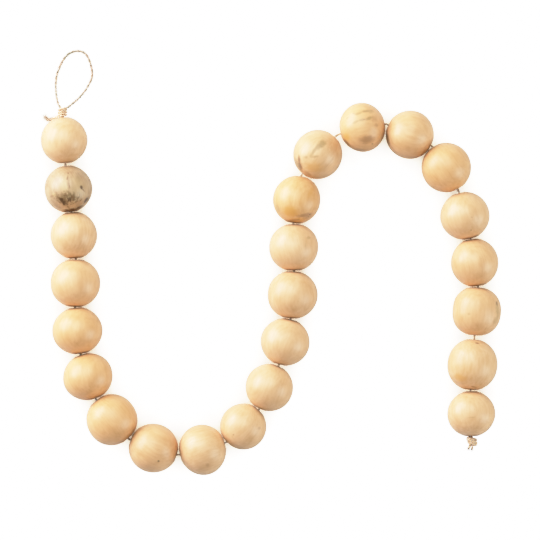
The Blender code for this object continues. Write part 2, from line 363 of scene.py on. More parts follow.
def stray_fibres(route, avoided, count, reach):
    """Fibres rooted on the twine's skin at random, slanting forwards and curling off."""
    tangent, side, other = across_line(route, avoided)
    at = rng.integers(2, len(route) - 2, count)
    a = rng.uniform(0, 2 * np.pi, count)[:, None]
    out = np.cos(a) * side[at] + np.sin(a) * other[at]
    way = rng.choice([-1.0, 1.0], count)[:, None]
    roots = route[at] + out * TWINE_DIAMETER * ROOT_DEPTH
    outwards = out * rng.uniform(0.4, 1.0, (count, 1))
    directions = unit(way * tangent[at] * FIBRE_SLANT_FORWARDS + outwards)
    bends = rng.normal(0, FIBRE_CURL, (count, 3)) + 0.4 * out
    lengths = rng.uniform(SHORTEST_FIBRE, 1.0, count) * reach
    return fibres(roots, directions, bends, lengths, STRAY_RADIUS)


def frayed_end(place, way, count, reach, spread):
    """A brush of fibres from a cut end, fanned about the way that the end points."""
    roots = place + rng.normal(0, BRUSH_WIDTH, (count, 3))
    directions = unit(np.asarray(way) + rng.normal(0, spread, (count, 3)))
    bends = rng.normal(0, BRUSH_CURL, (count, 3))
    lengths = rng.uniform(SHORTEST_FIBRE, 1.0, count) * reach
    return fibres(roots, directions, bends, lengths, BRUSH_RADIUS)


# %% [markdown]
# ## Joining tubes into one piece
#
# A strand's plies and fibres are all tubes, so one function joins them into a
# mesh. It gets sets of tubes, each an array of (tube, ring, side, x y z), and
# it shifts the faces of each tube past the points that are already there. The
# fibres are the tubes with three sides, and they take the second material.

# %% Join tubes into a piece
TABLE_CLEARANCE = 0.05 * MM


def piece_of_tubes(name, *sets):
    """One mesh of every tube in every set, each closed by a flat cap at both ends."""
    points, places, faces, caps, start = [], [], [], [], 0
    loose, loose_caps = [], []
    for tubes, yarns in sets:
        count, rows, columns = tubes.shape[:3]
        starts = start + rows * columns * np.arange(count)[:, None]
        faces.append((starts[:, :, None] + ring_faces(rows, columns)).reshape(-1, 4))
        loose.append(np.full(len(faces[-1]), columns == FIBRE_SIDES))
        loose_caps += [columns == FIBRE_SIDES] * (2 * count)
        caps += (starts + np.arange(columns)[::-1]).tolist()
        caps += (starts + (rows - 1) * columns + np.arange(columns)).tolist()
        points.append(tubes.reshape(-1, 3))
        places.append(yarns.reshape(-1, 3))
        start += count * rows * columns
    points = np.vstack(points)
    points[:, 2] = np.maximum(points[:, 2], TABLE_CLEARANCE)
    piece = new_piece(name, points, np.vstack(faces), caps)
    write_attribute(piece, "yarn", np.vstack(places))
    loose = np.concatenate([*loose, loose_caps]).astype(np.int32)
    piece.data.polygons.foreach_set("material_index", loose)
    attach(piece, "root")
    print(name, len(piece.data.polygons), "faces")
    return piece


# %% [markdown]
# ## The hanging loop
#
# Above the first bead the twine is doubled back into a loop. It leaves the
# knot, comes down to the table, lies round in a teardrop and climbs back to
# the knot. It is the one length of this cord that is free. Its hairs reach
# further out than a cord's skin may, so they are a piece of their own.

# %% Lay the hanging loop
LOOP_LINE = (
    (-173.2, 134.4, 18.5),
    (-174.6, 136.5, 17.9),
    (-175.5, 139.2, 16.2),
    (-176.2, 142.4, 13.2),
    (-176.7, 146.0, 9.2),
    (-177.1, 149.6, 5.4),
    (-177.3, 153.0, 2.6),
    (-177.2, 156.4, 1.2),
    (-176.8, 159.8, 1.0),
    (-176.1, 162.9, 1.0),
    (-174.6, 166.9, 1.0),
    (-172.8, 171.0, 1.0),
    (-170.5, 174.9, 1.0),
    (-167.0, 178.6, 1.0),
    (-162.9, 180.7, 1.0),
    (-159.2, 181.3, 1.0),
    (-155.5, 180.7, 1.0),
    (-152.6, 178.8, 1.0),
    (-150.5, 175.7, 1.0),
    (-148.9, 171.6, 1.0),
    (-147.6, 166.8, 1.0),
    (-147.1, 162.2, 1.0),
    (-147.9, 157.8, 1.2),
    (-149.9, 153.4, 2.6),
    (-152.3, 149.2, 5.2),
    (-155.0, 145.4, 8.6),
    (-157.7, 142.2, 11.9),
    (-160.6, 139.4, 14.0),
    (-163.4, 137.1, 15.8),
    (-165.9, 135.0, 17.2),
    (-167.8, 133.7, 18.3),
    (-168.85, 133.0, 19.45),
)
LOOP_STEP = 0.35 * MM
LOOP_FULLNESS = 1.1
LOOP_HAIRS = ({"count": 1500, "reach": 1.5 * MM}, {"count": 110, "reach": 2.6 * MM})
UP = (0.0, 0.0, 1.0)

loop_route = evenly(in_frame(smooth_line(LOOP_LINE)), LOOP_STEP)
loop = piece_of_tubes("hanging_loop_twine", plies(loop_route, UP, LOOP_FULLNESS))
loop_hairs = piece_of_tubes(
    "hanging_loop_hairs", *(stray_fibres(loop_route, UP, **hairs) for hairs in LOOP_HAIRS)
)
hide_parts("hanging_loop")

# %% [markdown]
# ## The two knots
#
# Both knots are the same twine wound round itself and pulled tight. The wound
# part is a helix about the knot's axis, and a bulge and a tilt that grow and
# fade along it keep its turns from lying as evenly as a spring's. The first
# knot's tail drops beside the bead to the table, and the last knot ends in two
# short tips, of which one is the threaded twine's own.

# %% Draw the knots' lines
WRAP_POINT_ANGLE = 30.0
KNOT_BELOW_AXIS = 0.7
LOOP_KNOT = {
    "start": (-171.4, 133.2),
    "end": (-171.0, 126.8),
    "start_radius": 2.9,
    "end_radius": 2.5,
    "start_angle": 35.0,
    "end_angle": 1260.0,
    "bulge": 0.5,
    "tilt": -0.6,
    "fullness": 1.13,
}
LOOP_KNOT_LEAD = ((-168.2, 133.4, 18.7), (-168.85, 133.0, 19.45))
LOOP_TAIL = (
    (-174.6, 127.2, 15.2),
    (-175.7, 126.9, 11.8),
    (-177.3, 126.4, 8.2),
    (-179.4, 125.6, 4.7),
    (-181.8, 124.8, 2.1),
    (-184.2, 125.0, 1.1),
    (-186.0, 126.3, 1.0),
)
END_KNOT = {
    "start": (166.4, -138.1),
    "end": (167.2, -144.9),
    "start_radius": 3.1,
    "end_radius": 2.2,
    "start_angle": 270.0,
    "end_angle": -900.0,
    "bulge": 0.8,
    "tilt": 1.3,
    "fullness": 1.3,
}
END_TIP = ((164.5, -146.0, 20.3), (163.9, -147.1, 20.9))


def wraps(knot, axis_height):
    """centre(u) + radius(u) (cos a(u) right + sin a(u) up), with u from 0 to 1, and its turns
    tilted: the bulge and the tilt both grow and fade as sin(pi u)."""
    turned = knot["end_angle"] - knot["start_angle"]
    u = np.linspace(0.0, 1.0, int(abs(turned) / WRAP_POINT_ANGLE) + 1)[:, None]
    a = np.radians(knot["start_angle"] + turned * u)
    start, end = np.array(knot["start"]), np.array(knot["end"])
    axis = unit(end - start)
    right = np.array([abs(axis[1]), -axis[0] * np.sign(axis[1]), 0.0])
    fullest = np.sin(np.pi * u)
    radius = knot["start_radius"] * (1 - u) + knot["end_radius"] * u + knot["bulge"] * fullest
    centre = np.c_[start * (1 - u) + end * u, np.full(len(u), axis_height)]
    centre[:, :2] += knot["tilt"] * fullest * np.cos(a) * axis
    return centre + radius * (np.cos(a) * right + np.sin(a) * np.array(UP))


loop_knot_line = [*LOOP_KNOT_LEAD, *wraps(LOOP_KNOT, middles[0, 2] - KNOT_BELOW_AXIS), *LOOP_TAIL]
end_knot_line = [*wraps(END_KNOT, middles[-1, 2] - KNOT_BELOW_AXIS), *END_TIP]
print("knots drawn through", len(loop_knot_line), "and", len(end_knot_line), "points")

# %% [markdown]
# ## The knots' strands and cut ends
#
# The strand is a little fuller in a knot, which presses its turns together.
# Stray fibres grow all along it. Yarn opens up near a cut, so short fluff
# thickens towards its end, and a brush of fibres closes it.

# %% Wind the knots
KNOT_STEP = 0.3 * MM
KNOT_HAIR = 1.5 * MM
KNOT_AXIS = (0.0, 1.0, 0.0)


def knot_piece(name, node, points, fullness, tuft):
    """A knot's strand with its fibres, in place of the node's solid."""
    route = evenly(in_frame(smooth_line(points)), KNOT_STEP)
    way = unit(route[-1] - route[-4])
    strays = stray_fibres(route, KNOT_AXIS, tuft["strays"], KNOT_HAIR)
    loosened = route[-int(tuft["loose"] / KNOT_STEP) :]
    fluff = stray_fibres(loosened, KNOT_AXIS, tuft["fluff"], tuft["reach"])
    brush = frayed_end(route[-1], way, tuft["count"], tuft["reach"], tuft["spread"])
    strand = plies(route, KNOT_AXIS, tucked(route, fullness))
    piece = piece_of_tubes(name, strand, strays, fluff, brush)
    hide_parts(node)
    return piece


TUFT_COLUMNS = ("strays", "loose", "fluff", "count", "reach", "spread")
TAIL_TUFT = dict(zip(TUFT_COLUMNS, (420, 7.0 * MM, 240, 110, 2.8 * MM, 0.8)))
TIP_TUFT = dict(zip(TUFT_COLUMNS, (360, 2.5 * MM, 60, 120, 1.7 * MM, 0.6)))
loop_knot = knot_piece("loop_knot_twine", "loop_knot", loop_knot_line, LOOP_KNOT["fullness"], TAIL_TUFT)
end_knot = knot_piece("end_knot_twine", "end_knot", end_knot_line, END_KNOT["fullness"], TIP_TUFT)

# %% [markdown]
# ## The twine inside the beads
#
# The same twine runs from the loop through every bore to its cut tip. It shows
# only in the gaps, where it lies low in the bores of a straight run and pulls
# to the inside of a bend. Each corner is cut short and rounded, because a
# slack cord eases round a bore's edge. Its start is tucked into the first knot.

# %% Thread the twine
CORNER_EASE = 3.0
LOOP_KNOT_LINE = ((-173.65, 135.05, 18.25), (-173.2, 134.4, 18.5), (-172.7, 133.6, 18.75))
LOOP_KNOT_CORE = ((-172.0, 132.7), (-171.5, 131.6))
END_KNOT_CORE = ((166.5, -138.4), (167.05, -143.2), (167.25, -145.4), (166.7, -147.8))
THREAD_STEP = 0.5 * MM
THREAD_TUFT = {"count": 90, "reach": 1.7 * MM, "spread": 0.6}

top = mouths(headings, -1)[0] - [0, 0, KNOT_BELOW_AXIS]
foot = mouths(headings, 1)[-1] - [0, 0, KNOT_BELOW_AXIS]
corners = np.vstack([top, gap_corners(headings), foot])
back = corners[1:-1] + unit(corners[:-2] - corners[1:-1]) * CORNER_EASE
on = corners[1:-1] + unit(corners[2:] - corners[1:-1]) * CORNER_EASE
eased = np.stack([back, (back + 2 * corners[1:-1] + on) / 4, on], axis=1).reshape(-1, 3)
head = [[x, y, top[2]] for x, y in LOOP_KNOT_CORE]
tip = [[x, y, foot[2]] for x, y in END_KNOT_CORE]
thread_line = np.vstack([LOOP_KNOT_LINE, head, top, eased, foot, tip])
thread_route = evenly(in_frame(thread_line), THREAD_STEP)
tip_way = unit(thread_route[-1] - thread_route[-4])
tip_brush = frayed_end(thread_route[-1], tip_way, **THREAD_TUFT)
thread = piece_of_tubes("threaded_twine", plies(thread_route, UP, tucked(thread_route)), tip_brush)
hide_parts("twine_through_beads")

# %% [markdown]
# ## Turning the beads
#
# A bead is a section spun round its bore. The outside of the section is the
# curve (r / R)^n + (|t| / T)^n = 1, where n is the fullness, and T is set so
# that the curve meets the small flat end. A quarter round eases the edge of
# the bore, as sanding does. No lathe leaves a perfect ball, so a slow ripple
# in the angle and the length is added.

# %% Describe a turned bead
BORE_RADIUS = 3.0
END_FLAT_RADIUS = 4.5
BORE_EASE = 0.6
OUTSIDE_POINTS = 72
TURN_POINTS = 112
RIPPLE = 0.16


def bead_section(bead):
    """Points (radius, along) from one end over the outside, and back through the bore."""
    power, radius, half = bead["fullness"], bead["across"] / 2, bead["along"] / 2
    reach = half / (1 - (END_FLAT_RADIUS / radius) ** power) ** (1 / power)
    last = math.atan2(half / reach, END_FLAT_RADIUS / radius)
    a = np.linspace(-last, last, OUTSIDE_POINTS)
    swell = (np.cos(a) ** power + np.abs(np.sin(a)) ** power) ** (-1 / power)
    outside = np.stack([radius * swell * np.cos(a), reach * swell * np.sin(a)], axis=1)
    q = np.linspace(0.0, np.pi / 2, 5)
    eased_edge = np.stack(
        [BORE_RADIUS + BORE_EASE * (1 - np.sin(q)), half - BORE_EASE * (1 - np.cos(q))], axis=1
    )
    wall = np.array([[BORE_RADIUS, half / 3], [BORE_RADIUS, -half / 3]])
    return np.vstack([outside, eased_edge, wall, eased_edge[::-1] * [1, -1]])


def bead_grid(bead, centre, heading):
    """The section spun round the bore: (r cos p, r sin p, t), set on its heading."""
    section = bead_section(bead)
    p = 2 * np.pi * np.arange(TURN_POINTS)[:, None] / TURN_POINTS
    r, t = section[None, :, 0], section[None, :, 1]
    outer = np.clip((r - END_FLAT_RADIUS) / (bead["across"] / 2 - END_FLAT_RADIUS), 0, 1)
    phases = bead["rng"].uniform(0, 2 * np.pi, 4)
    weights = bead["rng"].uniform(0.4, 1.0, 4) * RIPPLE
    ripple = weights[0] * np.sin(2 * p + phases[0] + t / 14)
    ripple = ripple + weights[1] * np.sin(3 * p + phases[1] - t / 9)
    ripple = ripple + weights[2] * np.sin(t / 5 + phases[2]) * np.cos(p + phases[3])
    r = r + ripple * outer
    local = np.stack(np.broadcast_arrays(r * np.cos(p), r * np.sin(p), t), axis=-1)
    forward = np.array([*heading, 0.0])
    axes = np.array([np.cross(UP, forward), UP, forward])
    return local, local @ axes + centre


print("a bead's section has", len(bead_section(beads[0])), "points")

# %% [markdown]
# ## Beads on the thread
#
# Each bead is set on its heading, and it rests on the table on a tiny flat
# spot. Round a bore each bead is painted darker, as shade in the crevice where
# it nearly meets the next bead, most of all in a tight gap. So each point also
# stores how near it is to a mouth of the bore, which counts for less where the
# gap beside it is wide.

# %% Turn each bead
MOUTH_REACH = 10.5
TIGHT_GAP = 0.9
OPEN_GAP = 3.4
OPEN_GAP_SHARE = 0.2

gaps = np.linalg.norm(mouths(headings, -1)[1:] - mouths(headings, 1)[:-1], axis=1)
gaps = np.array([OPEN_GAP, *gaps, TIGHT_GAP])
tightness = np.interp(gaps, [TIGHT_GAP, OPEN_GAP], [1.0, OPEN_GAP_SHARE])
for number, bead in enumerate(beads):
    bead["name"] = names[number]
    bead["rng"] = np.random.default_rng(100 + number)
    local, placed = bead_grid(bead, middles[number], headings[number])
    placed = in_frame(placed.reshape(-1, 3))
    placed[:, 2] = np.maximum(placed[:, 2], 0.0)
    rows, columns = local.shape[:2]
    piece = new_piece("turned_" + bead["name"], placed, ring_faces(rows, columns, True)[:, ::-1])
    bead["piece"], bead["local"] = piece, local.reshape(-1, 3)
    from_bore = np.hypot(local[..., 0], local[..., 1])
    # How much painted shade each point gets near a mouth of the bore.
    mouth_shade_share = np.clip((MOUTH_REACH - from_bore) / (MOUTH_REACH - BORE_RADIUS), 0, 1)
    mouth_shade_share *= np.where(local[..., 2] < 0, *tightness[number : number + 2])
    write_attribute(piece, "mouth", mouth_shade_share.ravel())
    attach(piece, "root")
    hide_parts(bead["name"])
print("each bead has", len(piece.data.polygons), "faces")

# %% [markdown]
# ## The wood of each blank
#
# Every bead comes from a different stick, so each point of a bead also stores
# where it was in its blank: the distances from the tree's pith, and the place
# along the fibres. The fibres run nearly along the bore. The pith lies well
# outside the bead, on a side that differs from bead to bead.

# %% Store each bead's place in its blank
PITH_DISTANCES = (24, 60)
FIBRE_LEAN = 0.08
STICK_LENGTH = 900

for bead in beads:
    draw = bead["rng"]
    side = draw.uniform(0, 2 * np.pi)
    pith = draw.uniform(*PITH_DISTANCES) * np.array([np.cos(side), np.sin(side)])
    lean = draw.normal(0, FIBRE_LEAN, 2)
    x, y, z = bead["local"].T
    x, y = x - pith[0] + lean[0] * z, y - pith[1] + lean[1] * z
    blank = np.stack([x, y, z + draw.uniform(0, STICK_LENGTH)], axis=1)
    write_attribute(bead["piece"], "blank", blank)
print("the last bead grew", round(float(np.hypot(*pith))), "mm from its tree's pith")

# %% [markdown]
# ## A short way to write materials
#
# A material is a tree of small nodes that each do one thing. The class below
# adds a node and fills all its inputs in one call, so a material reads like
# the formula that it works out. A node group is such a tree with sockets of
# its own. It is built once and then placed in every material that needs it.

# %% Add and join nodes
class Nodes:
    """Adds nodes to a tree and links them: values are set, sockets are joined."""

    def __init__(self, tree):
        self.tree = tree

    def add(self, kind, inputs=(), **settings):
        node = self.tree.nodes.new(kind)
        for name, value in settings.items():
            setattr(node, name, value)
        self.fill(node.inputs, dict(inputs))
        return node

    def fill(self, sockets, values):
        for name, value in values.items():
            self.put(sockets[name], value)

    def put(self, target, value):
        if isinstance(value, bpy.types.NodeSocket):
            self.tree.links.new(value, target)
        elif target.type == "RGBA":
            target.default_value = (*value, 1.0)
        else:
            target.default_value = value

    def math(self, operation, a, b=0.0, clamp=False):
        return self.add("ShaderNodeMath", {0: a, 1: b}, operation=operation, use_clamp=clamp).outputs[0]

    def vector(self, operation, a, b):
        return self.add("ShaderNodeVectorMath", {0: a, 1: b}, operation=operation).outputs[0]

    def noise(self, where, scale, detail=2.0, roughness=0.5):
        inputs = {"Vector": where, "Scale": scale, "Detail": detail, "Roughness": roughness}
        return self.add("ShaderNodeTexNoise", inputs).outputs[0]

    def drawn_noise(self, where, scales, detail=2.0, roughness=0.5):
        """Noise with its own scale along each axis, so that it can be drawn out."""
        return self.noise(self.vector("MULTIPLY", where, scales), 1.0, detail, roughness)

    def ramp(self, value, low, high, to_low=0.0, to_high=1.0):
        """A smooth step 3 t^2 - 2 t^3, where t goes from 0 to 1 as the value passes low and high."""
        inputs = {"Value": value, 1: low, 2: high, 3: to_low, 4: to_high}
        return self.add("ShaderNodeMapRange", inputs, interpolation_type="SMOOTHSTEP").outputs[0]

    def mix(self, share, a, b):
        return self.add("ShaderNodeMix", {0: share, 6: a, 7: b}, data_type="RGBA").outputs[2]

    def attribute(self, name, output="Vector"):
        return self.add("ShaderNodeAttribute", attribute_name=name).outputs[output]

    def group(self, tree, inputs):
        """A group placed in this tree, with its inputs set or joined, and its outputs."""
        node = self.tree.nodes.new("ShaderNodeGroup")
        node.node_tree = tree
        self.fill(node.inputs, inputs)
        return node.outputs


def new_group(name, inputs, outputs):
    """An empty group with named sockets, and its nodes, given inputs and wanted outputs."""
    tree = bpy.data.node_groups.new(name, "ShaderNodeTree")
    for way, sockets in (("INPUT", inputs), ("OUTPUT", outputs)):
        for title, kind in sockets.items():
            tree.interface.new_socket(name=title, in_out=way, socket_type=kind)
    nodes = Nodes(tree)
    return tree, nodes, nodes.add("NodeGroupInput").outputs, nodes.add("NodeGroupOutput").inputs


COLOUR, VALUE, VECTOR = "NodeSocketColor", "NodeSocketFloat", "NodeSocketVector"

# %% [markdown]
# ## Pale wood, as a node group
#
# All the beads use one effect, so it is a node group. It adds up five layers:
# growth rings as a soft wave in the distance from the pith, fine fibres and
# broader bands as noise drawn out along the stick, dapples and wide clouds.
# Short dark pores lie over them. The group puts out a colour, a height, and
# streaks that make the edges of stains ragged. Each material gives it its own
# tones, so that the beads differ as real blanks do.

# %% Build the wood group
PITH_WANDER = 9.0
PORE_SHARE = 0.35
LAYER_SHARES = {"rings": 0.25, "fibres": 0.12, "bands": 0.3, "dapples": 0.15, "clouds": 0.4}

wood_group, n, given, out = new_group(
    "pale_turned_wood",
    {
        "Blank": VECTOR,
        "Light": COLOUR,
        "Dark": COLOUR,
        "Pore": COLOUR,
        "Ring width": VALUE,
        "Figure": VALUE,
    },
    {"Colour": COLOUR, "Height": VALUE, "Streaks": VALUE},
)
wander = n.drawn_noise(given["Blank"], (0.09, 0.09, 0.02), 3.0)
shift = n.add("ShaderNodeCombineXYZ", {0: n.math("MULTIPLY", wander, PITH_WANDER)}).outputs[0]
bent = n.vector("ADD", given["Blank"], shift)
flat = n.vector("MULTIPLY", bent, (1, 1, 0))
pith_distance = n.add("ShaderNodeVectorMath", {0: flat}, operation="LENGTH").outputs["Value"]
years = n.math("DIVIDE", pith_distance, given["Ring width"])
rings = n.ramp(n.math("SINE", n.math("MULTIPLY", years, 2 * math.pi)), -0.4, 1.0)
fine = n.drawn_noise(bent, (1.3, 1.3, 0.05), 4.0, 0.6)
clouds = n.drawn_noise(bent, (0.11, 0.11, 0.06))
bands = n.drawn_noise(bent, (0.42, 0.42, 0.045))
dapples = n.drawn_noise(bent, (0.5, 0.5, 0.25))
pores = n.ramp(n.drawn_noise(bent, (3.2, 3.2, 0.32), 1.0), 0.66, 0.76)
layers = {
    "rings": n.math("MULTIPLY", rings, clouds),
    "fibres": n.ramp(fine, 0.25, 0.75),
    "bands": n.ramp(bands, 0.3, 0.7),
    "dapples": n.ramp(dapples, 0.35, 0.75),
    "clouds": n.ramp(clouds, 0.35, 0.65),
}
shade = 0.0
for name, layer in layers.items():
    shade = n.math("ADD", shade, n.math("MULTIPLY", layer, LAYER_SHARES[name]))
shade = n.math("MULTIPLY", shade, given["Figure"], clamp=True)
toned = n.mix(shade, given["Light"], given["Dark"])
n.put(out["Colour"], n.mix(n.math("MULTIPLY", pores, PORE_SHARE), toned, given["Pore"]))
height = n.math("SUBTRACT", n.math("MULTIPLY", fine, 0.5), n.math("MULTIPLY", pores, 0.5))
n.put(out["Height"], height)
n.put(out["Streaks"], n.drawn_noise(bent, (0.7, 0.7, 0.12), 3.0, 0.6))
print("wood group has", len(wood_group.nodes), "nodes")

# %% [markdown]
# ## Stains, knots, spalting and painted shade
#
# Some beads carry marks: grey streaks where the sap stained the stick, small
# knots, and the wandering dark lines of spalted wood. A few dark marks at a
# rim, where a bead nearly meets its neighbour or where its bore opens, are
# painted shade, and some are partly a spalt line. A mark is an ellipsoid
# round a point of the bead's surface. Its ragged edge comes from adding noise
# and the wood's own streaks to the distance from its middle. Its veins are
# where another noise crosses its own middle value.

# %% Build the stain and shade group
stain_and_shade_group, n, given, out = new_group(
    "wood_stain_and_shade",
    {
        "Place": VECTOR,
        "Turn": VECTOR,
        "Size": VECTOR,
        "Ragged": VALUE,
        "Streaks": VALUE,
        "Grain": VALUE,
    },
    {"Patch": VALUE, "Veins": VALUE},
)
where = n.add("ShaderNodeTexCoord").outputs["Object"]
mapping = {"Vector": where, "Location": given["Place"], "Rotation": given["Turn"], "Scale": given["Size"]}
inside = n.add("ShaderNodeMapping", mapping, vector_type="TEXTURE").outputs[0]
distance = n.add("ShaderNodeVectorMath", {0: inside}, operation="LENGTH").outputs["Value"]
blotches = n.noise(where, given["Grain"], 4.0, 0.6)
rough_edge = n.math("SUBTRACT", n.math("ADD", blotches, given["Streaks"]), 1.0)
distance = n.math("ADD", distance, n.math("MULTIPLY", rough_edge, given["Ragged"]))
patch = n.ramp(distance, 0.25, 1.1, 1.0, 0.0)
n.put(out["Patch"], patch)
vein_noise = n.noise(where, given["Grain"], 3.0, 0.55)
vein = n.ramp(n.math("ABSOLUTE", n.math("SUBTRACT", vein_noise, 0.5)), 0.0, 0.035, 1.0, 0.0)
n.put(out["Veins"], n.math("MULTIPLY", vein, patch))
print("stain group has", len(stain_and_shade_group.nodes), "nodes")

# %% [markdown]
# The marks are listed bead by bead, in millimetres right of and above the
# bead's middle as the camera sees it, and their turns in degrees. The height
# of the surface there follows from the bead's radius. The tone named vein is
# laid on the mark's veins alone.

